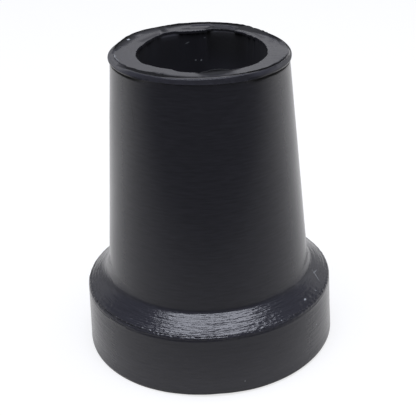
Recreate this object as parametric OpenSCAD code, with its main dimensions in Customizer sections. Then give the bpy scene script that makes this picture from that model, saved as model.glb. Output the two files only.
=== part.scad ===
// Slip-on rubber tip for a walking cane: one solid moulding with a blind socket,
// a tapered wall under a beaded rim, a conical shoulder and a tread of rings.
// It stands on z = 0, and the socket opens upwards along +Z.

/* [Socket] */
// Inside diameter, which grips a 19 mm shaft
bore_d = 19; // [16:0.5:22]
// Depth of the socket below the top face
bore_depth = 38; // [30:1:40]
// Fillet radius where the socket's wall meets its floor
bore_root_r = 1; // [0.2:0.1:2]

/* [Wall] */
// Height of the flat top face above the ground
face_z = 47.3; // [46:0.1:56]
// Outside diameter just under the bead
wall_top_d = 26.1; // [25:0.1:29]
// Outside diameter at the crease above the shoulder
wall_base_d = 31.6; // [30:0.1:34]
// Height of the crease above the ground
crease_z = 12.5; // [11.6:0.1:14]
// Fillet radius in the crease
crease_r = 1; // [0.1:0.1:1.5]

/* [Rim] */
// How far the bead stands out from the wall
bead_out = 0.25; // [0.1:0.05:0.6]
// Height of the bead's underside below the top face
bead_drop = 0.65; // [0.6:0.05:1.4]
// Radius that rounds the bead over into the trim ridge
bead_r = 0.35; // [0.2:0.05:0.6]
// Height of the trim ridge above the top face
ridge_h = 0.15; // [0.05:0.05:0.4]
// Width of the flat on the trim ridge
ridge_flat = 0.4; // [0.05:0.05:0.6]
// Width of the slope from the ridge down to the top face
ridge_slope = 0.5; // [0.2:0.05:0.8]

/* [Foot] */
// Largest diameter, just above the ground
foot_d = 39.3; // [38:0.1:44]
// Diameter at the flange's upper edge
flange_d = 38.5; // [37:0.1:41]
// Height of the flange's upper edge above the ground
flange_z = 10.2; // [8:0.1:11]
// Radius on the flange's upper edge
flange_r = 0.5; // [0.1:0.1:1]
// Radius on the foot's lower edge
foot_r = 0.2; // [0.1:0.05:1]

/* [Tread] */
// Number of concentric grooves in the underside
groove_count = 4; // [2:1:4]
// Radius of the innermost groove's centre line
groove_start_r = 4.5; // [3:0.1:5]
// Distance from one groove to the next
groove_pitch = 3.9; // [3:0.1:3.9]
// Width of a groove at the ground
groove_w = 1.8; // [1.2:0.1:2.2]
// Depth of a groove
groove_depth = 1.5; // [0.8:0.1:2.5]
// Draft angle of a groove's sides
groove_draft = 10; // [2:1:12]

/* [Hidden] */
$fn = 96;

rubber = [0.09, 0.09, 0.1];
overcut = 1;
arc_steps = 6;
groove_root_r = 0.3;
socket_floor_z = face_z - bore_depth;

// Radii and heights of the rim's section
wall_top_r = wall_top_d / 2;
bead_edge_r = wall_top_r + bead_out;
bead_z = face_z - bead_drop;
ridge_z = face_z + ridge_h;
ridge_edge_r = bead_edge_r - bead_r;
ridge_foot_r = ridge_edge_r - ridge_flat - ridge_slope;
undercut = 0.08;
lip_r = 0.06;

// Direction from point a to point b, as a unit vector
function direction(a, b) = (b - a) / norm(b - a);

// First two numbers of a corner [r, z, radius]
function place(corner) = [corner[0], corner[1]];

// Arc that rounds the corner b of the path a-b-c with the given radius
function rounded(a, b, c, radius) =
    let (
        back = direction(b, a),
        ahead = direction(b, c),
        half = acos(back * ahead) / 2,
        start = b + back * radius / tan(half),
        centre = b + direction([0, 0], back + ahead) * radius / sin(half),
        first = atan2(start[1] - centre[1], start[0] - centre[0]),
        sweep = (180 - 2 * half) * sign(cross(ahead, back))
    )
    [for (i = [0:arc_steps])
        let (angle = first + sweep * i / arc_steps)
        centre + radius * [cos(angle), sin(angle)]];

// Path through a list of corners, each rounded by its own radius
function rounded_path(corners) = [
    for (i = [0:len(corners) - 1])
        let (corner = corners[i], radius = corner[2])
        each radius == 0
            ? [place(corner)]
            : rounded(place(corners[i - 1]), place(corner), place(corners[i + 1]), radius)
];

// Half section of the outside, from the foot's centre up to the top face's centre
outside = [
    [0, 0, 0],
    [foot_d / 2, 0, foot_r],
    [flange_d / 2, flange_z, flange_r],
    [wall_base_d / 2, crease_z, crease_r],
    [wall_top_r, bead_z - undercut, lip_r],
    [bead_edge_r, bead_z, lip_r],
    [bead_edge_r, ridge_z, bead_r],
    [ridge_edge_r - ridge_flat, ridge_z, 0],
    [ridge_foot_r, face_z, 0],
    [0, face_z, 0]
];

// Half section of the socket, cut past the top face
socket = [
    [0, socket_floor_z, 0],
    [bore_d / 2, socket_floor_z, bore_root_r],
    [bore_d / 2, ridge_z + overcut, 0],
    [0, ridge_z + overcut, 0]
];

// One groove of the tread, centred on the given radius and cut past the ground
module tread_groove(centre_r) {
    mouth = groove_w / 2 + overcut * tan(groove_draft);
    root = groove_w / 2 - groove_depth * tan(groove_draft);
    rotate_extrude()
        polygon(rounded_path([
            [centre_r + mouth, -overcut, 0],
            [centre_r + root, groove_depth, groove_root_r],
            [centre_r - root, groove_depth, groove_root_r],
            [centre_r - mouth, -overcut, 0]
        ]));
}

module cane_tip() {
    color(rubber)
    difference() {
        rotate_extrude()
            polygon(rounded_path(outside));
        rotate_extrude()
            polygon(rounded_path(socket));
        for (i = [0:groove_count - 1])
            tread_groove(groove_start_r + i * groove_pitch);
    }
}

cane_tip();
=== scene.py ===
# Slip-on rubber tip for a walking cane: one black moulding with a blind socket, a beaded rim, a
# tapered wall, a conical shoulder and a tread of rings, standing upright on a pale studio floor.
import math

import bpy
import numpy as np
from mathutils import Matrix, Vector


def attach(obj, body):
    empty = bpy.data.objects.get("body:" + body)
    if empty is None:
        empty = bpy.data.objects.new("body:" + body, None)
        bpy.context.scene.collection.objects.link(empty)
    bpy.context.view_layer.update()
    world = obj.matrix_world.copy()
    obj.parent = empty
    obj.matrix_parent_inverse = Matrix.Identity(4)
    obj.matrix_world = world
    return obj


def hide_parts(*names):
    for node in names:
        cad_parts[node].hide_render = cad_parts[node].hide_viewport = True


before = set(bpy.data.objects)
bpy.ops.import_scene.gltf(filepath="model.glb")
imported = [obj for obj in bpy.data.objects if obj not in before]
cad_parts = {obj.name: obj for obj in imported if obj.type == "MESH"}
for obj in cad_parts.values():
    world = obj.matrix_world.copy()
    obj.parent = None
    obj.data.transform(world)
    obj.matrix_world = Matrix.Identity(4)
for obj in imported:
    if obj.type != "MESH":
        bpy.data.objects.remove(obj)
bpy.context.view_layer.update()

# --- Camera ---------------------------------------------------------------------------------------
# A hand-held camera close to the tip and above its rim. It looks down into the mouth of the socket,
# and the wall seems to widen less towards the ground than it does. The lens axis passes to the right
# of the tip, which the lens shift recentres.

CAMERA_PLACE = (0.0, -0.141864, 0.094683)
CAMERA_YAW = math.radians(3.992)      # turned towards +X
CAMERA_PITCH = math.radians(27.384)   # tipped down
CAMERA_ROLL = math.radians(-0.643)
IMAGE_SIDE = 416
FOCAL_PIXELS = 1019.1                 # distance from the lens to the picture, in picture elements
AXIS_COLUMN = 270                     # column that the lens axis goes through

ahead = Vector((
    math.sin(CAMERA_YAW) * math.cos(CAMERA_PITCH),
    math.cos(CAMERA_YAW) * math.cos(CAMERA_PITCH),
    -math.sin(CAMERA_PITCH),
))
level = Vector((math.cos(CAMERA_YAW), -math.sin(CAMERA_YAW), 0.0))
upright = level.cross(ahead)
right = math.cos(CAMERA_ROLL) * level + math.sin(CAMERA_ROLL) * upright
up = math.cos(CAMERA_ROLL) * upright - math.sin(CAMERA_ROLL) * level

lens = bpy.data.cameras.new("camera")
lens.sensor_width = 36.0
lens.lens = lens.sensor_width * FOCAL_PIXELS / IMAGE_SIDE
lens.shift_x = (IMAGE_SIDE / 2 - AXIS_COLUMN) / IMAGE_SIDE
lens.clip_start = 0.01
camera = bpy.data.objects.new("camera", lens)
camera.matrix_world = Matrix((
    (right.x, up.x, -ahead.x, CAMERA_PLACE[0]),
    (right.y, up.y, -ahead.y, CAMERA_PLACE[1]),
    (right.z, up.z, -ahead.z, CAMERA_PLACE[2]),
    (0.0, 0.0, 0.0, 1.0),
))
bpy.context.scene.collection.objects.link(camera)
bpy.context.scene.camera = camera
bpy.context.scene.view_settings.view_transform = "Standard"

# --- Cane tip -------------------------------------------------------------------------------------
# The whole tip is one compression moulding of black natural rubber. A core pin forms the blind
# socket and leaves a ragged web of flash round its mouth. The flash of the top parting line is
# trimmed by hand, which leaves a burr on the rim and a sharp-edged bead below it.

# Sizes in millimetres; angles in degrees, anticlockwise from +X, seen from above
BORE_R = 9.5
BORE_FLOOR_Z = 9.3
BORE_ROOT_R = 1.0
FACE_Z = 47.27
WEB = 0.45            # thickness of the flash round the mouth
FLARE = 7.0           # depth over which the socket opens out to its mouth
WALL_TOP_R = 13.05
WALL_BASE_R = 15.8
CREASE_Z = 12.5
BEAD_R = 13.3
BEAD_Z = 46.65        # height of the bead's lower edge
FLANGE_R = 19.25
FLANGE_Z = 10.15
FOOT_R = 19.62
FOOT_BEVEL = 0.45
GROOVE_RADII = (4.5, 8.4, 12.3, 16.2)
GROOVE_W = 1.8
GROOVE_DEPTH = 1.5
GROOVE_DRAFT = 10.0
WALL_WAVE = 0.008             # unevenness of the wall
SIDE_WAVE = 0.03              # unevenness of the flange's side
FACE_RIPPLE = 0.006           # unevenness of the top face
FACE_WAVE = 0.07              # height of the long wave that the knife left on the +X half of the face
FACE_WAVE_LENGTH = 16
SHOULDER_LIP = 0.035          # height and roughness of the raised edge round the shoulder
LOW_SHOULDER_RELIEF = 0.008   # roughness of the shoulder next to that edge

# Radius of the socket's mouth, where the flash reaches in, stands up or has torn out
MOUTH_EDGE = (
    (3, 9.69), (24, 9.69), (31, 9.8), (33, 9.62), (38, 9.85), (41, 9.75), (47, 10.0), (51, 10.12),
    (56, 10.1), (61, 10.75), (67, 10.9), (77, 10.75), (82, 9.95), (85, 9.44), (96, 9.22), (104, 9.4),
    (115, 10.08), (122, 10.06), (131, 9.64), (143, 9.28), (158, 9.01), (173, 9.17), (202, 9.41),
    (212, 9.49), (220, 9.16), (243, 8.86), (247, 9.16), (250, 9.38), (254, 9.44), (260, 9.5),
    (265, 9.58), (270, 9.85), (276, 10.15), (288, 10.1), (295, 9.9), (304, 10.06), (318, 10.24),
    (339, 10.06), (352, 9.8),
)
# How far the face has sunk at the mouth, and how much wider than elsewhere the slope down to it is
MOUTH_SINK = ((56, 0.0), (61, -0.19), (77, -0.19), (82, 0.0))
SINK_WIDTH = ((56, 0.0), (61, 0.54), (77, 0.54), (82, 0.0))
# Height of the turned-up flash above the top face
MOUTH_BURR = ((0, 0.0), (268, 0.0), (273, 0.3), (278, 0.5), (286, 0.5), (290, 0.28), (296, 0.0))
# Outer radius of the flat top face, where a crevice or a torn rise parts it from the bead
FACE_EDGE = (
    (3, 12.3), (8, 11.95), (21, 11.95), (28, 11.75), (34, 11.5), (39, 11.2), (45, 10.85), (54, 10.9),
    (58, 11.5), (61, 12.3), (80, 12.3), (104, 12.3), (114, 11.9), (119, 11.35), (127, 11.15),
    (132, 11.2), (138, 11.45), (143, 11.55), (149, 11.2), (156, 11.0), (162, 11.1), (166, 11.6),
    (172, 12.0), (180, 12.4), (189, 12.3), (199, 12.1), (210, 11.85), (220, 11.5), (228, 11.25),
    (231, 11.1), (234, 10.9), (237, 11.1), (239, 11.1), (241, 10.9), (244, 11.1), (247, 11.2),
    (256, 11.3), (270, 11.5), (290, 11.65), (297, 11.75), (303, 11.9), (311, 12.08), (320, 12.4),
    (331, 12.62), (340, 12.76), (350, 12.8),
)
# How far the rounding of that edge reaches
EDGE_ROUNDING = (
    (0, 0.02), (60, 0.02), (62, 0.04), (108, 0.04), (116, 0.15), (140, 0.3), (168, 0.15), (178, 0.06),
    (255, 0.03),
)
# Bottom of the gap between the top face and the bead, as height over the face, at its inner and its
# outer side, and how far the rounding of its outer side reaches
GAP_INNER = (
    (0, -0.02), (56, -0.02), (62, -0.06), (108, -0.06), (116, 0.0), (166, 0.0), (174, -0.08),
    (181, -0.2), (198, -0.2), (206, -0.18), (214, -0.3), (240, -0.42), (252, -0.36), (262, -0.24),
    (290, -0.26), (305, -0.26), (332, -0.22), (342, -0.12), (350, -0.03),
)
GAP_OUTER = (
    (0, -0.02), (12, 0.08), (24, 0.18), (54, 0.22), (60, -0.04), (108, -0.06), (116, 0.04),
    (122, 0.08), (149, 0.1), (164, 0.1), (172, 0.0), (181, -0.22), (198, -0.22), (206, -0.2),
    (214, -0.3), (240, -0.42), (252, -0.36), (262, -0.24), (290, -0.26), (305, -0.26), (332, -0.22),
    (342, -0.12), (350, -0.03),
)
GAP_ROUNDING = ((0, 0.02), (108, 0.02), (120, 0.07), (142, 0.16), (164, 0.18), (174, 0.02))
# Inner edge of the bead's top, or of the trim burr that stands on it: radius and height
CREST_R = (
    (3, 12.52), (14, 12.3), (28, 12.0), (36, 12.12), (45, 12.25), (57, 12.72), (75, 12.8),
    (93, 12.85), (98, 12.78), (104, 12.95), (110, 12.8), (120, 12.75), (133, 12.85), (141, 12.75),
    (148, 12.45), (159, 12.35), (170, 12.42), (178, 12.7), (184, 12.8), (200, 12.72), (210, 12.65),
    (225, 12.6), (240, 12.62), (247, 12.5), (253, 12.35), (260, 12.2), (270, 12.2), (285, 12.28),
    (293, 12.5), (300, 12.62), (312, 12.72), (320, 12.78), (330, 12.84), (340, 12.9), (350, 12.95),
)
CREST_Z = (
    (0, 47.27), (14, 47.42), (24, 47.54), (57, 47.53), (104, 47.5), (120, 47.5), (133, 47.55),
    (142, 47.6), (149, 47.72), (168, 47.7), (174, 47.35), (181, 47.08), (198, 47.08), (206, 47.12),
    (214, 47.34), (222, 47.43), (240, 47.46), (252, 47.46), (262, 47.47), (296, 47.46), (303, 47.38),
    (311, 47.3), (323, 47.22), (345, 47.25),
)
# How ragged that edge is: the height of its tears
CREST_TEAR = ((0, 0.008), (12, 0.008), (25, 0.035), (62, 0.035), (75, 0.008))
# Outer edge of the bead's top: radius, height and how far its rounding reaches
BEAD_TOP_R = (
    (0, 12.95), (20, 12.85), (48, 12.9), (60, 13.05), (140, 13.05), (180, 13.0), (205, 12.92),
    (215, 12.85), (240, 12.82), (250, 12.87), (290, 12.87), (300, 12.92), (340, 12.98),
)
BEAD_TOP_Z = (
    (0, 46.95), (28, 46.9), (48, 46.98), (60, 47.3), (140, 47.25), (165, 47.05), (181, 46.98),
    (198, 47.0), (206, 47.06), (222, 47.37), (240, 47.41), (262, 47.41), (290, 47.41), (297, 47.38),
    (303, 47.32), (311, 47.22), (323, 47.12), (331, 47.05), (340, 46.96),
)
BEAD_ROUNDING = (
    (0, 0.25), (60, 0.15), (150, 0.15), (185, 0.15), (205, 0.05), (298, 0.05), (320, 0.25),
)
# How far the bead's lower edge lies above its mean height
BEAD_DIP = (
    (0, -0.35), (40, -0.1), (180, 0.0), (200, 0.03), (230, 0.02), (239, 0.08), (252, 0.09),
    (262, 0.06), (270, 0.02), (285, -0.05), (294, -0.15), (305, -0.21), (315, -0.2), (325, -0.3),
    (335, -0.37), (345, -0.42),
)
# How wide the slope from the top face into the gap is
GAP_SLOPE = ((0, 0.04), (197, 0.04), (204, 0.15), (212, 0.2), (246, 0.25), (256, 0.04))
# Where the bead is flat with a thin lip along its lower edge (1), and where it is round and undercut
# (0)
BEAD_LIP = ((0, 0.0), (222, 0.0), (236, 1.0), (296, 1.0), (308, 0.0))
# How far the rounding reaches at the inner corner under the wall, and at the edge round the shoulder
CREASE_CUT = (
    (0, 1.0), (90, 1.2), (180, 1.8), (208, 1.5), (222, 0.7), (236, 0.3), (296, 0.3), (312, 0.7),
    (340, 0.9),
)
FLANGE_CUT = ((0, 0.3), (180, 0.35), (205, 0.5), (225, 0.55), (245, 0.4), (275, 0.32), (300, 0.3))
# Radius where the foot meets the ground
GROUND_R = (
    (0, 19.55), (180, 19.55), (215, 19.5), (235, 19.5), (246, 19.4), (256, 19.26), (266, 19.15),
    (272, 19.05), (278, 19.13), (290, 19.27), (318, 19.3), (332, 19.36), (345, 19.5),
)

FINE = 720       # columns round the rim and the shoulder
COARSE = 180     # columns round the wall, the socket and the underside
theta = np.arange(FINE) * 2 * np.pi / FINE


def around(points):
    """Height over the angle: between two (degrees, value) points the value eases with t^2 (3 - 2t),
    and the last point leads back to the first."""
    degrees, values = np.array(points, float).T
    degrees = np.append(degrees, degrees[0] + 360)
    values = np.append(values, values[0])
    angle = (np.degrees(theta) - degrees[0]) % 360 + degrees[0]
    left = np.searchsorted(degrees, angle, side="right") - 1
    t = (angle - degrees[left]) / (degrees[left + 1] - degrees[left])
    return values[left] + (values[left + 1] - values[left]) * t * t * (3 - 2 * t)


def ripple(across, turns, waves, seed, count=60):
    """Random relief of about +-1: a sum of count cosines cos(k theta + w across + phase), where k is
    a whole number from turns[0] to turns[1], so the relief closes round the tip, and w is 2 pi over a
    wavelength from waves."""
    draw = np.random.default_rng(seed)
    k = draw.integers(turns[0], turns[1] + 1, count)[:, None, None]
    w = 2 * np.pi / draw.uniform(waves[0], waves[1], count)[:, None, None]
    w = w * draw.choice((-1, 1), count)[:, None, None]
    phase = draw.uniform(0, 2 * np.pi, count)[:, None, None]
    return np.cos(k * theta + w * across + phase).sum(0) / math.sqrt(count / 2) / 1.5


def corner(r, z, cut=0.0, bend=1, run=0, columns=FINE, sharp=False):
    """A corner of the section: radius and height over the angle, the distance from it at which its
    rounding starts, the numbers of rings on the rounding and on the straight run after it, the
    columns that they have, and whether the corner is a sharp edge."""
    place = np.array([np.broadcast_to(r, theta.shape), np.broadcast_to(z, theta.shape)], float)
    return place, cut, bend, run, columns, sharp


def toward(a, b):
    """Unit vector from a to b."""
    return (b - a) / np.linalg.norm(b - a, axis=0)


def section(corners):
    """Rings of (r, z) over the angle, each ring's columns, and whether it is a sharp edge. A corner b
    is rounded by the curve (1-t)^2 p + 2t(1-t) b + t^2 q, where p and q lie on its two sides at the
    distance cut; runs between corners are straight."""
    rings, columns, sharp_rings = [], [], []
    for i, (b, cut, bend, run, count, sharp) in enumerate(corners):
        columns += [count] * (bend + run)
        sharp_rings += [sharp] + [False] * (bend + run - 1)
        if bend > 1:
            p = b + toward(b, corners[i - 1][0]) * cut
            q = b + toward(b, corners[i + 1][0]) * cut
            t = np.linspace(0, 1, bend)[:, None, None]
            rings.append((1 - t) ** 2 * p + 2 * t * (1 - t) * b + t ** 2 * q)
        else:
            q = b
            rings.append(b[None])
        if run:
            c, cut_c, bend_c = corners[i + 1][:3]
            p = c + toward(c, b) * cut_c if bend_c > 1 else c
            t = (np.arange(run) + 1)[:, None, None] / (run + 1)
            rings.append(q + (p - q) * t)
    return np.concatenate(rings), np.array(columns), np.array(sharp_rings)


burr = around(MOUTH_BURR) * (1 + 0.05 * ripple(0.0, (10, 30), (1, 2), 4)[0])
mouth_r = around(MOUTH_EDGE) + 0.035 * ripple(0.0, (25, 120), (1, 2), 3)[0]
lip_r = np.mean([np.roll(around(MOUTH_EDGE), shift) for shift in range(-32, 33, 4)], axis=0)
lip_r = np.minimum(np.maximum(lip_r, BORE_R - 0.1), mouth_r + 0.1)
face_edge = around(FACE_EDGE) + 0.03 * ripple(0.0, (20, 90), (1, 2), 5)[0]
crest_r = around(CREST_R) + 0.012 * ripple(0.0, (15, 60), (1, 2), 6)[0]
crest_z = around(CREST_Z) + around(CREST_TEAR) * ripple(0.0, (25, 90), (1, 2), 7)[0]
gap_inner = FACE_Z + around(GAP_INNER)
gap_outer = FACE_Z + around(GAP_OUTER)
bead_z = BEAD_Z + around(BEAD_DIP)
sink = around(MOUTH_SINK)
lip = around(BEAD_LIP)
ragged_lip = lip * (0.8 + 0.3 * ripple(0.0, (40, 90), (1, 2), 9)[0])
gap_r = face_edge + around(GAP_SLOPE)
bead_top_r = around(BEAD_TOP_R)
bead_top_z = around(BEAD_TOP_Z)

corners = [
    # Floor of the socket and its wall, which opens out below the flash
    corner(0.6, BORE_FLOOR_Z, run=4, columns=COARSE),
    corner(BORE_R, BORE_FLOOR_Z, BORE_ROOT_R, 5, run=6, columns=COARSE),
    corner(BORE_R, FACE_Z - FLARE, run=3, columns=COARSE),
    corner(BORE_R + 0.3 * (lip_r - BORE_R), FACE_Z - FLARE / 2, run=3),
    # Edge of the flash at the mouth, turned up or sunk
    corner(lip_r, FACE_Z - WEB - 0.15, 0.08, 2),
    corner(mouth_r, FACE_Z - WEB + 0.5 * (burr + sink), 0.05, 3, run=1),
    corner(mouth_r, FACE_Z + burr + sink, 0.06, 3),
    corner(mouth_r + 0.12, FACE_Z + burr + sink, 0.03, 3, run=1),
    corner(mouth_r + 0.2, FACE_Z + 0.35 * burr + 0.95 * sink, run=1),
    corner(mouth_r + 0.28 + 0.5 * burr, FACE_Z + 0.15 * burr + 0.85 * sink, run=2),
    # Top face, the gap or the torn rise at its edge, and the crest
    corner(mouth_r + 0.36 + 1.3 * burr + around(SINK_WIDTH), FACE_Z, run=8),
    corner(face_edge, FACE_Z, around(EDGE_ROUNDING), 5, run=2),
    corner(gap_r, gap_inner, 0.02, 2, run=1),
    corner(crest_r - 0.04, gap_outer, around(GAP_ROUNDING), 3, run=1),
    corner(crest_r, crest_z, 0.02, 3, run=1),
    # Bead, the lip or the undercut at its lower edge, and the top of the wall
    corner(bead_top_r, bead_top_z, around(BEAD_ROUNDING), 5),
    corner(BEAD_R - 0.3 * lip, np.maximum(bead_top_z - 0.4, bead_z + 0.33), 0.06, 3, run=1),
    corner(BEAD_R - 0.01 - 0.24 * lip + 0.08 * ragged_lip, bead_z + 0.12 - 0.04 * lip, sharp=True),
    corner(BEAD_R - 0.1 - 0.14 * lip, bead_z + 0.05 - 0.01 * lip, sharp=True),
    corner(WALL_TOP_R - 0.09 + 0.1 * lip, bead_z, sharp=True),
    corner(WALL_TOP_R - 0.02 + 0.03 * lip, bead_z - 0.15, run=1),
    corner(WALL_TOP_R + 0.02, bead_z - 0.4, run=1),
    # Wall, crease and shoulder
    corner(WALL_TOP_R + 0.05, bead_z - 0.9, run=22, columns=COARSE),
    corner(WALL_BASE_R - 0.17, CREASE_Z + 2.2, run=5),
    corner(WALL_BASE_R, CREASE_Z, around(CREASE_CUT), 7, run=15),
    corner(FLANGE_R - 0.32, FLANGE_Z + 0.21, 0.15, 3, run=1),
    corner(FLANGE_R, FLANGE_Z + SHOULDER_LIP, around(FLANGE_CUT), 7, run=1),
    # Side of the flange and its foot
    corner(FLANGE_R + 0.04, FLANGE_Z - 1.0, run=10, columns=COARSE),
    corner(FOOT_R, FOOT_BEVEL, 0.06, 2, run=1, columns=COARSE),
    corner(around(GROUND_R), 0.0, 0.08, 2, run=1, columns=COARSE),
]
# Grooves of the tread, whose sides lean by the draft
lean = GROOVE_DEPTH * math.tan(math.radians(GROOVE_DRAFT))
for centre in reversed(GROOVE_RADII):
    corners += [
        corner(centre + GROOVE_W / 2, 0.0, 0.08, 2, columns=COARSE),
        corner(centre + GROOVE_W / 2 - lean, GROOVE_DEPTH, 0.25, 3, columns=COARSE),
        corner(centre - GROOVE_W / 2 + lean, GROOVE_DEPTH, 0.25, 3, columns=COARSE),
        corner(centre - GROOVE_W / 2, 0.0, 0.08, 2, run=1, columns=COARSE),
    ]
corners += [corner(1.2, 0.0, columns=COARSE), corner(0.5, 0.0, columns=COARSE)]
path, columns, sharp = section(corners)

# The path runs from the socket's floor, over the rim and down to the ground, with the rubber on its
# right
along = np.gradient(path, axis=0)
along /= np.linalg.norm(along, axis=1, keepdims=True) + 1e-12
normal = np.stack([-along[:, 1], along[:, 0]], axis=1)
travel = np.cumsum(np.linalg.norm(np.diff(path, axis=0, prepend=path[:1]), axis=1), axis=0)


def between(value, low, high, soft):
    """1 between low and high, falling to 0 over the distance soft on either side."""
    return np.clip((value - low) / soft + 1, 0, 1) * np.clip((high - value) / soft + 1, 0, 1)


# Regions of the surface: 1 in each of them and 0 outside
r, z = path[:, 0], path[:, 1]
east, north = r * np.cos(theta), r * np.sin(theta)
degrees = np.degrees(theta)
outside = np.cumsum(r > BORE_R + 1.2, axis=0) > 0
on_face = between(r, mouth_r + 0.12, face_edge - 0.1, 0.15) * (z > FACE_Z - 0.2) * (normal[:, 1] > 0.97)
on_rim = z > FACE_Z - 0.75
on_wall = between(z, CREASE_Z + 3, FACE_Z - 2, 2.0) * outside
on_low_wall = between(z, CREASE_Z + 3, 20.0, 12.0) * on_wall
on_shoulder = between(r, WALL_BASE_R + 0.3, FLANGE_R - 0.1, 0.3) * (z > FLANGE_Z - 0.5)
on_side = between(z, 1.5, FLANGE_Z - 1, 1.0) * (r > FLANGE_R)
on_lip = between(r, FLANGE_R - 0.25, FLANGE_R - 0.05, 0.12) * (z > FLANGE_Z - 0.2) * (z < FLANGE_Z + 0.4)
on_low_shoulder = between(r, FLANGE_R - 1.15, FLANGE_R - 0.25, 0.6) * on_shoulder

# Unevenness of the moulding: millimetres by which the surface stands out
relief = on_wall * WALL_WAVE * ripple(travel, (2, 7), (8, 30), 13)
relief += on_side * SIDE_WAVE * ripple(travel, (2, 7), (8, 30), 14)
relief += on_face * FACE_RIPPLE * ripple(travel, (3, 20), (2.0, 8.0), 15)
relief -= on_face * FACE_WAVE * np.clip(east / 10, 0, 1) * np.sin(2 * np.pi * north / FACE_WAVE_LENGTH)
relief += on_lip * SHOULDER_LIP * ripple(travel, (60, 180), (1, 3), 17)
relief += on_low_shoulder * LOW_SHOULDER_RELIEF * ripple(travel, (60, 150), (1.2, 3), 18)

# Strokes of the trimming knife on the top face: the angle and radius of each end, the half width, the
# height, and whether the rubber tore there (above 0) or stayed smooth between tears (below 0)
STROKES = (
    ((28, 10.6), (40, 10.9), 0.35, 0.02, 0.3),
    ((46, 10.35), (52, 10.5), 0.3, 0.05, -0.8),
    ((53, 11.9), (58, 11.0), 0.4, -0.03, 0.9),
    ((58, 12.4), (80, 12.4), 0.3, 0.0, 0.9),
    ((60, 11.2), (78, 11.2), 0.55, 0.0, 0.9),
    ((78.5, 12.0), (69, 12.1), 0.2, 0.04, -0.8),
    ((67, 12.0), (60, 10.9), 0.15, 0.08, -1.2),
    ((80, 11.2), (84, 10.0), 0.25, -0.03, 0.8),
    ((82, 12.1), (95, 12.05), 0.3, 0.16, -0.8),
    ((82, 10.4), (98, 10.3), 0.5, 0.0, 0.35),
    ((99, 10.6), (104, 10.5), 0.2, -0.03, 0.6),
    ((104, 12.3), (112, 12.0), 0.3, 0.0, 0.6),
    ((118, 12.2), (119, 10.9), 0.45, -0.1, 0.9),
    ((121, 11.6), (126, 10.2), 0.14, 0.07, -0.9),
    ((128, 10.3), (150, 9.9), 0.5, 0.0, 0.4),
    ((118, 12.3), (134, 12.3), 0.45, 0.0, 0.8),
    ((145, 12.0), (164, 11.9), 0.4, 0.0, 0.9),
    ((272, 10.6), (291, 10.6), 0.7, 0.0, 0.55),
)
stroke_relief, torn_and_shade = 0, 0
for (start_turn, start_r), (end_turn, end_r), width, height, rough in STROKES:
    start = start_r * np.array([math.cos(math.radians(start_turn)), math.sin(math.radians(start_turn))])
    end = end_r * np.array([math.cos(math.radians(end_turn)), math.sin(math.radians(end_turn))])
    span = end - start
    t = np.clip(((east - start[0]) * span[0] + (north - start[1]) * span[1]) / (span @ span), 0, 1)
    near = np.exp(-(np.hypot(east - start[0] - t * span[0], north - start[1] - t * span[1]) / width) ** 2)
    stroke_relief += height * near
    torn_and_shade += rough * near
relief += on_face * stroke_relief

# Torn rubber outside those strokes: the rise at the back, its crest, the top of the bead on the +X side,
# the crevice in front with the corner beside it, and the slope of the burr. Their dark colour is partly
# painted shade: it deepens the dark band of the rise, the crevice's dark line and the shadow below the
# burr
torn_and_shade += between(degrees, 15, 108, 6.0) * (r > face_edge - 0.02) * (r < crest_r + 0.03)
torn_and_shade += between(degrees, 112, 172, 4.0) * between(r, crest_r - 0.2, crest_r + 0.05, 0.5) * (r > face_edge)
torn_and_shade += between(degrees, 4, 60, 8.0) * (r > crest_r + 0.03) * (z > bead_z + 0.35)
torn_and_shade += between(degrees, 208, 340, 8.0) * (r > face_edge - 0.02) * (r < crest_r - 0.02)
torn_and_shade += 0.5 * between(degrees, 236, 292, 5.0) * between(r, face_edge - 0.25, face_edge, 0.15)
torn_and_shade += between(degrees, 268, 298, 4.0) * (r > mouth_r + 0.05) * (r < mouth_r + 0.4 + burr)
torn_and_shade = np.clip(torn_and_shade, 0, 1) * on_rim

# Painted shade, in the dark colour of torn rubber and as matt as it: the undercut below the bead, and the
# socket's wall where the mouth above it has torn wide
undercut = between(degrees, 184, 350, 6.0) * between(z, bead_z - 0.3, bead_z + 0.06, 0.06) * outside
torn_and_shade += (1 - lip) * undercut
behind_flash = between(z, FACE_Z - 3, FACE_Z, 3.0) * (z < FACE_Z - 0.3) * ~outside
torn_and_shade += np.clip((lip_r - BORE_R) / 0.6, 0, 1) * behind_flash
torn_and_shade = np.clip(torn_and_shade, 0, 1)

# How strongly the drag lines of the knife and the turning marks of the mould show
drag_side = np.clip(between(degrees, 0, 50, 20) + between(degrees, 340, 360, 20), 0, 1)
cut = on_face * (0.25 + 0.75 * drag_side)
turned = 0.02 * on_wall + 0.16 * on_low_wall + 0.4 * on_side + 0.1 * on_face
down_shoulder = np.clip((r - WALL_BASE_R) / (FLANGE_R - WALL_BASE_R), 0, 1)
coarse_arc = 0.6 + 0.4 * between(degrees, 228, 318, 25.0)
turned += on_shoulder * coarse_arc * (0.8 + down_shoulder ** 2)

# The path is inside the socket until it first comes up to the face
inside = 1.0 - np.clip(np.cumsum(z > FACE_Z - 0.3, axis=0), 0, 1)
path = path + normal * relief[:, None]


def thin(grid, columns):
    """Values of the whole grid in one list, ring after ring, with as many columns of each ring as it
    keeps."""
    return np.concatenate([ring[::FINE // count] for ring, count in zip(grid, columns)])


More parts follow.
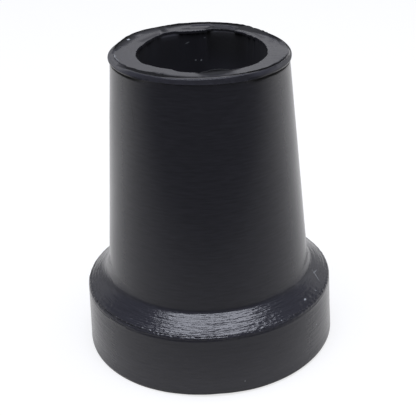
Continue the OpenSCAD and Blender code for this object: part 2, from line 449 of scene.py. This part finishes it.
def revolve(path, columns):
    """Closed surface x = r cos(theta), y = r sin(theta), z = z. Rings with fewer columns keep every
    n-th point; neighbouring rings join with four-cornered faces, or, where the number of columns
    changes, with faces that take n fine edges and one coarse edge. A point on the axis closes each
    end."""
    surface = np.stack([path[:, 0] * np.cos(theta), path[:, 0] * np.sin(theta), path[:, 1]], axis=2)
    points = thin(surface, columns)
    first = np.concatenate([[0], np.cumsum(columns)])
    sizes, loops = [], []
    for i, (a, b) in enumerate(zip(columns[:-1], columns[1:])):
        j = np.arange(min(a, b))
        above = [first[i] + (j * (a // len(j)) + s) % a for s in range(a // len(j) + 1)]
        below = [first[i + 1] + (j * (b // len(j)) + s) % b for s in range(b // len(j) + 1)]
        face = above + below[::-1]
        loops.append(np.stack(face, axis=1).ravel())
        sizes.append(np.full(len(j), len(face)))
    for ring, pole, way in ((0, len(points), -1), (len(columns) - 1, len(points) + 1, 1)):
        j = np.arange(columns[ring])
        edge = [first[ring] + j, first[ring] + (j + 1) % len(j)][::way]
        loops.append(np.stack([np.full(len(j), pole), *edge], axis=1).ravel())
        sizes.append(np.full(len(j), 3))
    points = np.concatenate([points, [[0, 0, path[0, 1].mean()], [0, 0, path[-1, 1].mean()]]])
    return points, np.concatenate(loops), np.concatenate(sizes)


points, loops, sizes = revolve(path, columns)
tip_mesh = bpy.data.meshes.new("cane_tip")
tip_mesh.vertices.add(len(points))
tip_mesh.vertices.foreach_set("co", (points / 1000).ravel())
tip_mesh.loops.add(len(loops))
tip_mesh.loops.foreach_set("vertex_index", loops)
tip_mesh.polygons.add(len(sizes))
tip_mesh.polygons.foreach_set("loop_start", np.cumsum(sizes) - sizes)
tip_mesh.polygons.foreach_set("loop_total", sizes)
tip_mesh.polygons.foreach_set("use_smooth", np.ones(len(sizes), bool))
tip_mesh.update(calc_edges=True)
tip_mesh.validate()
for name, grid in (("torn_and_shade", torn_and_shade), ("turned", turned), ("inside", inside), ("cut", cut)):
    values = np.append(thin(grid, columns), [grid[0, 0], grid[-1, 0]])
    tip_mesh.attributes.new(name, "FLOAT", "POINT").data.foreach_set("value", values)

# An edge that follows a sharp ring is a sharp edge
ring = np.append(np.repeat(np.arange(len(columns)), columns), (0, 0))
ends = np.empty(2 * len(tip_mesh.edges), np.int32)
tip_mesh.edges.foreach_get("vertices", ends)
start, end = ring[ends.reshape(-1, 2)].T
sharp_edges = tip_mesh.attributes.new("sharp_edge", "BOOLEAN", "EDGE")
sharp_edges.data.foreach_set("value", sharp[start] & (start == end))
tip = bpy.data.objects.new("moulding", tip_mesh)
bpy.context.scene.collection.objects.link(tip)


def linear(code):
    """Linear RGBA of an sRGB hex colour: each channel c is c / 12.92 up to 0.04045, and ((c + 0.055)
    / 1.055)^2.4 above it."""
    channels = [int(code[i:i + 2], 16) / 255 for i in (1, 3, 5)]
    return [c / 12.92 if c <= 0.04045 else ((c + 0.055) / 1.055) ** 2.4 for c in channels] + [1.0]


def add(tree, kind, inputs=None, **settings):
    """Adds a node. Settings are its own properties; inputs give each socket a value, or the output
    that feeds it."""
    node = tree.nodes.new(kind)
    for name, value in settings.items():
        setattr(node, name, value)
    for socket, value in (inputs or {}).items():
        if isinstance(value, bpy.types.NodeSocket):
            tree.links.new(value, node.inputs[socket])
        else:
            node.inputs[socket].default_value = value
    return node


# Carbon-black natural rubber, compression moulded in a turned steel mould: satin, with the mould's fine
# turning marks on the shoulder, matt where the knife tore it, and matt inside the socket, where a
# slightly darker colour is painted shade
rubber = bpy.data.materials.new("moulded_black_rubber")
rubber.use_nodes = True
tree = rubber.node_tree
tree.nodes.clear()
place = add(tree, "ShaderNodeTexCoord").outputs["Object"]
place = add(tree, "ShaderNodeVectorMath", {0: place, 3: 1000.0}, operation="SCALE").outputs[0]
axes = add(tree, "ShaderNodeSeparateXYZ", {0: place})
spoke = add(tree, "ShaderNodeCombineXYZ", {"X": axes.outputs["X"], "Y": axes.outputs["Y"]}).outputs[0]
reach = add(tree, "ShaderNodeVectorMath", {0: spoke}, operation="LENGTH").outputs["Value"]
spoke = add(tree, "ShaderNodeVectorMath", {0: spoke}, operation="NORMALIZE").outputs[0]
across = add(tree, "ShaderNodeMath", {0: reach, 1: axes.outputs["Z"]}, operation="SUBTRACT").outputs[0]
torn_and_shade, turned, inside, cut = [
    add(tree, "ShaderNodeAttribute", attribute_type="GEOMETRY", attribute_name=name).outputs["Fac"]
    for name in ("torn_and_shade", "turned", "inside", "cut")
]

# Turning marks: noise drawn out round the tip. Each layer has its length, its spacing and its height,
# all in mm, and the lengths hold on the shoulder, at the radius MEAN_R
TURNING_MARKS = ((9.0, 0.6, 0.05), (0.9, 0.35, 0.04), (0.55, 0.35, 0.025), (2.5, 0.3, 0.055))
MEAN_R = 17.0
height = 0.0
for length, spacing, depth in TURNING_MARKS:
    along = add(tree, "ShaderNodeVectorMath", {
        0: spoke, 3: MEAN_R / length,
    }, operation="SCALE").outputs[0]
    step = add(tree, "ShaderNodeMath", {0: across, 1: 1 / spacing}, operation="MULTIPLY").outputs[0]
    lift = add(tree, "ShaderNodeCombineXYZ", {"Z": step}).outputs[0]
    stretched = add(tree, "ShaderNodeVectorMath", {0: along, 1: lift}, operation="ADD").outputs[0]
    marks = add(tree, "ShaderNodeTexNoise", {"Vector": stretched, "Scale": 1.0, "Detail": 1.5}).outputs[0]
    height = add(tree, "ShaderNodeMath", {
        0: marks, 1: depth, 2: height,
    }, operation="MULTIPLY_ADD").outputs[0]
height = add(tree, "ShaderNodeMath", {0: height, 1: turned}, operation="MULTIPLY").outputs[0]

# Orange-peel grain of the moulded skin, and a deeper grain where the rubber tore: its size and height
# in mm
for size, depth, where in ((0.4, 0.004, None), (0.25, 0.05, torn_and_shade)):
    grain = add(tree, "ShaderNodeTexNoise", {
        "Vector": place, "Scale": 1 / size, "Detail": 2.0,
    }).outputs[0]
    grain = add(tree, "ShaderNodeMath", {0: grain, 1: depth}, operation="MULTIPLY").outputs[0]
    if where:
        grain = add(tree, "ShaderNodeMath", {0: grain, 1: where}, operation="MULTIPLY").outputs[0]
    height = add(tree, "ShaderNodeMath", {0: height, 1: grain}, operation="ADD").outputs[0]

# Fine drag lines of the trimming knife on the top face: 2.5 mm long, 0.4 mm apart and along the X
# axis. The noise is turned after it is stretched, so its own lattice doesn't line up with them
drag = add(tree, "ShaderNodeMapping", {
    "Vector": place, "Rotation": (0, 0, math.radians(45)), "Scale": (0.4, 2.6, 0),
}).outputs[0]
drag = add(tree, "ShaderNodeTexNoise", {"Vector": drag, "Scale": 1.0, "Detail": 2.0}).outputs[0]
drag = add(tree, "ShaderNodeMath", {0: drag, 1: cut}, operation="MULTIPLY").outputs[0]
height = add(tree, "ShaderNodeMath", {0: drag, 1: 0.05, 2: height}, operation="MULTIPLY_ADD").outputs[0]

# Heights are in mm and the bump's distance is in metres
bump = add(tree, "ShaderNodeBump", {"Height": height, "Distance": 0.001, "Strength": 1.0})

# Carbon black with faint streaks along the turning marks, a little darker in the socket and darkest where
# it tore; both darker colours are partly painted shade
streaks = add(tree, "ShaderNodeMapRange", {"Value": marks, "From Min": 0.3, "From Max": 0.7}).outputs[0]
colour = add(tree, "ShaderNodeMix", {
    "Factor": streaks, 6: linear("#313137"), 7: linear("#37373e"),
}, data_type="RGBA").outputs[2]
# A slightly darker colour inside the socket, which is painted shade
colour = add(tree, "ShaderNodeMix", {
    "Factor": inside, 6: colour, 7: linear("#2d2d34"),
}, data_type="RGBA").outputs[2]
# Dark colour of torn rubber, which is painted shade in the crevice, the undercut, the socket's flared
# wall and round the rise and the burr
colour = add(tree, "ShaderNodeMix", {
    "Factor": torn_and_shade, 6: colour, 7: linear("#0f0f12"),
}, data_type="RGBA").outputs[2]

# Dust, small damage and a painted highlight: the angle, radius and height of each end in degrees and mm,
# the half width, and the tone, which is above 0 where pale dust, a fresh scratch or the painted highlight
# shows and below 0 for a dark nick
MARKS_AND_HIGHLIGHTS = (
    ((321.8, 18.13, 10.85), (322.4, 18.13, 10.85), 0.2, 1.0),
    ((305.5, 16.45, 11.94), (305.5, 16.45, 11.94), 0.12, 0.7),
    ((303.2, 18.87, 10.37), (303.2, 18.87, 10.37), 0.12, 0.7),
    ((332.7, 18.52, 10.6), (331.8, 18.13, 10.85), 0.1, 0.5),
    ((326.0, 19.41, 5.9), (326.5, 19.41, 5.95), 0.14, 0.8),
    ((283.5, 19.56, 2.1), (283.5, 19.56, 2.1), 0.12, 0.6),
    ((343.7, 16.45, 11.94), (343.7, 16.45, 11.94), 0.15, -0.8),
    ((267.6, 17.81, 11.05), (267.6, 17.81, 11.05), 0.18, -0.9),
    ((247.2, 16.88, 11.66), (247.2, 16.88, 11.66), 0.2, -0.9),
    ((288.1, 17.19, 11.46), (292.8, 17.24, 11.43), 0.12, -0.9),
    ((345.7, 16.67, 11.9), (340.3, 18.27, 10.81), 0.12, 0.3),
    ((342.8, 16.98, 11.69), (348.6, 17.38, 11.42), 0.12, 0.3),
    ((221.5, 13.2, 44.1), (226.5, 13.74, 38.5), 0.12, -0.25),
    ((230.0, 14.4, 30.9), (230.8, 14.4, 30.8), 0.14, -0.6),
    ((333.0, 13.42, 41.9), (334.0, 13.5, 40.9), 0.2, -0.4),
    ((193.0, 14.6, 28.05), (200.0, 14.56, 28.5), 0.12, -0.4),
    ((200.0, 14.56, 28.5), (207.0, 14.5, 28.98), 0.12, -0.4),
    ((337.0, 14.9, 22.7), (333.0, 14.95, 22.2), 0.14, -0.3),
    ((330.0, 15.1, 20.2), (326.0, 15.1, 19.9), 0.14, -0.3),
    ((94.0, 9.5, 42.5), (94.6, 9.5, 42.5), 0.14, 0.7),
    ((89.5, 9.5, 42.4), (88.9, 9.5, 42.5), 0.14, 0.7),
    ((104.0, 9.5, 45.2), (98.0, 9.5, 45.6), 0.12, 0.3),
    ((86.0, 9.5, 46.0), (84.0, 9.5, 46.1), 0.12, 0.3),
    ((71.0, 9.6, 45.7), (66.0, 9.6, 45.5), 0.12, 0.15),
    ((150.8, 12.02, 47.36), (152.2, 12.02, 47.36), 0.24, 0.9),
    # Painted highlight: a pale streak along the face's edge on the -X side, standing in for the bright
    # floor mirrored in a small step there
    ((183.0, 12.36, 47.22), (190.2, 12.28, 47.24), 0.2, 0.35),
    ((190.2, 12.28, 47.24), (199.0, 12.08, 47.26), 0.14, 0.25),
)
tone = 0.0
for (start_turn, start_r, start_z), (end_turn, end_r, end_z), width, strength in MARKS_AND_HIGHLIGHTS:
    start_turn, end_turn = math.radians(start_turn), math.radians(end_turn)
    start = Vector((start_r * math.cos(start_turn), start_r * math.sin(start_turn), start_z))
    end = Vector((end_r * math.cos(end_turn), end_r * math.sin(end_turn), end_z))
    span = end - start
    aim = span.to_track_quat("X", "Z").to_euler() if span.length else (0, 0, 0)
    mark = add(tree, "ShaderNodeMapping", {
        "Vector": place, "Location": (start + end) / 2, "Rotation": aim,
        "Scale": (span.length / 2 + width, width, width),
    }, vector_type="TEXTURE").outputs[0]
    mark = add(tree, "ShaderNodeTexGradient", {"Vector": mark}, gradient_type="SPHERICAL").outputs["Fac"]
    tone = add(tree, "ShaderNodeMath", {
        0: mark, 1: 2 * strength, 2: tone,
    }, operation="MULTIPLY_ADD").outputs[0]
dark = add(tree, "ShaderNodeMath", {0: tone, 1: -1.0}, operation="MULTIPLY", use_clamp=True).outputs[0]
tone = add(tree, "ShaderNodeClamp", {"Value": tone}).outputs[0]
colour = add(tree, "ShaderNodeMix", {
    "Factor": dark, 6: colour, 7: linear("#0a0a0c"),
}, data_type="RGBA").outputs[2]
# Pale dust, fresh scratches and the painted highlight along the face's edge
colour = add(tree, "ShaderNodeMix", {
    "Factor": tone, 6: colour, 7: linear("#a9adb2"),
}, data_type="RGBA").outputs[2]

# Satin where the mould shaped it, smoothest on the turned shoulder, and matt in the socket and where
# it tore
gloss = add(tree, "ShaderNodeMapRange", {"Value": turned, "To Min": 0.24, "To Max": 0.17}).outputs[0]
gloss = add(tree, "ShaderNodeMix", {"Factor": torn_and_shade, 2: gloss, 3: 0.8}).outputs[0]
gloss = add(tree, "ShaderNodeMix", {"Factor": inside, 2: gloss, 3: 1.0}).outputs[0]
shader = add(tree, "ShaderNodeBsdfPrincipled", {
    "Base Color": colour, "Roughness": gloss, "IOR": 1.5, "Normal": bump.outputs[0],
})
add(tree, "ShaderNodeOutputMaterial", {"Surface": shader.outputs[0]})
tip_mesh.materials.append(rubber)
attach(tip, "root")
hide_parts("cane_tip")

# --- Studio ---------------------------------------------------------------------------------------
# A pale floor lit by one overhead softbox, bright walls behind and beside it and a dark room on the
# camera's side.

FLOOR_SIDE = 3.0
floor_mesh = bpy.data.meshes.new("floor")
half = FLOOR_SIDE / 2
floor_corners = [(-half, -half, 0), (half, -half, 0), (half, half, 0), (-half, half, 0)]
floor_mesh.from_pydata(floor_corners, [], [(0, 1, 2, 3)])
floor = bpy.data.objects.new("floor", floor_mesh)
bpy.context.scene.collection.objects.link(floor)
paper = bpy.data.materials.new("pale_matt_paper")
paper.use_nodes = True
tree = paper.node_tree
tree.nodes.clear()
place = add(tree, "ShaderNodeTexCoord").outputs["Object"]
depth = add(tree, "ShaderNodeSeparateXYZ", {0: place}).outputs["Y"]

# What lights the tip from below is a floor whose colour is painted light and shade: a painted shadow on
# the camera's side, pale behind the tip, and a painted pool of light close to the sides and the back of
# the foot. Its tint makes up for the softbox, which is a little blue
shade = add(tree, "ShaderNodeMapRange", {
    "Value": depth, "From Min": -0.09, "From Max": 0.045, "To Min": 0.08, "To Max": 1.0,
}).outputs[0]
beside = add(tree, "ShaderNodeMapRange", {
    "Value": depth, "From Min": -0.03, "From Max": -0.008, "To Max": 0.3,
}).outputs[0]
spread = add(tree, "ShaderNodeVectorMath", {0: place}, operation="LENGTH").outputs["Value"]
close = add(tree, "ShaderNodeMapRange", {
    "Value": spread, "From Min": 0.022, "From Max": 0.04, "To Min": 1.0, "To Max": 0.0,
}).outputs[0]
shade = add(tree, "ShaderNodeMath", {0: beside, 1: close, 2: shade}, operation="MULTIPLY_ADD").outputs[0]
tint = add(tree, "ShaderNodeVectorMath", {0: (1.03, 1.0, 0.92), 3: shade}, operation="SCALE").outputs[0]
dim = add(tree, "ShaderNodeBsdfDiffuse", {"Color": tint})

# What the camera sees is an even pale floor with the tip's shadow on it
seen = add(tree, "ShaderNodeLightPath").outputs["Is Camera Ray"]
pale = add(tree, "ShaderNodeBsdfDiffuse", {"Color": linear("#959595")})
white = add(tree, "ShaderNodeEmission", {"Color": linear("#ffffff"), "Strength": 0.72})
lit = add(tree, "ShaderNodeAddShader", {0: pale.outputs[0], 1: white.outputs[0]})
both = add(tree, "ShaderNodeMixShader", {"Fac": seen, 1: dim.outputs[0], 2: lit.outputs[0]})
add(tree, "ShaderNodeOutputMaterial", {"Surface": both.outputs[0]})
floor_mesh.materials.append(paper)

softbox = bpy.data.lights.new("softbox", "AREA")
softbox.shape = "RECTANGLE"
softbox.size = 0.555
softbox.size_y = 0.40
softbox.energy = 4.2
softbox.color = (0.96, 0.99, 1.11)
lamp = bpy.data.objects.new("softbox", softbox)
lamp.location = (0.0, -0.06, 0.6)
bpy.context.scene.collection.objects.link(lamp)

world = bpy.data.worlds.new("studio")
bpy.context.scene.world = world
world.use_nodes = True
tree = world.node_tree
tree.nodes.clear()
heading = add(tree, "ShaderNodeTexCoord").outputs["Generated"]
axes = add(tree, "ShaderNodeSeparateXYZ", {0: heading})

# The room's glow is brightest behind the tip, strongest in a band 22 degrees above the horizon and
# weak higher up, and a little stronger on the +X side
back = add(tree, "ShaderNodeMapRange", {
    "Value": axes.outputs["Y"], "From Min": -0.5, "From Max": 0.8, "To Min": 0.12, "To Max": 0.74,
}, interpolation_type="SMOOTHSTEP").outputs[0]
low = add(tree, "ShaderNodeMapRange", {
    "Value": axes.outputs["Z"], "From Min": 0.37, "From Max": 0.6, "To Min": 1.0, "To Max": 0.15,
}, interpolation_type="SMOOTHSTEP").outputs[0]
level = add(tree, "ShaderNodeMapRange", {
    "Value": axes.outputs["Z"], "From Min": 0.27, "From Max": 0.37, "To Min": 0.6, "To Max": 1.09,
}).outputs[0]
aside = add(tree, "ShaderNodeMapRange", {
    "Value": axes.outputs["X"], "From Min": -0.1, "From Max": 0.08, "To Min": 0.9, "To Max": 1.18,
}, interpolation_type="SMOOTHSTEP").outputs[0]
glow = add(tree, "ShaderNodeMath", {0: back, 1: low}, operation="MULTIPLY").outputs[0]
glow = add(tree, "ShaderNodeMath", {0: glow, 1: aside}, operation="MULTIPLY").outputs[0]
glow = add(tree, "ShaderNodeMath", {0: glow, 1: level}, operation="MULTIPLY").outputs[0]

# The camera sees white instead
seen = add(tree, "ShaderNodeLightPath").outputs["Is Camera Ray"]
strength = add(tree, "ShaderNodeMix", {"Factor": seen, 2: glow, 3: 1.0}).outputs[0]
air = add(tree, "ShaderNodeBackground", {"Color": linear("#ffffff"), "Strength": strength})
add(tree, "ShaderNodeOutputWorld", {"Surface": air.outputs[0]})
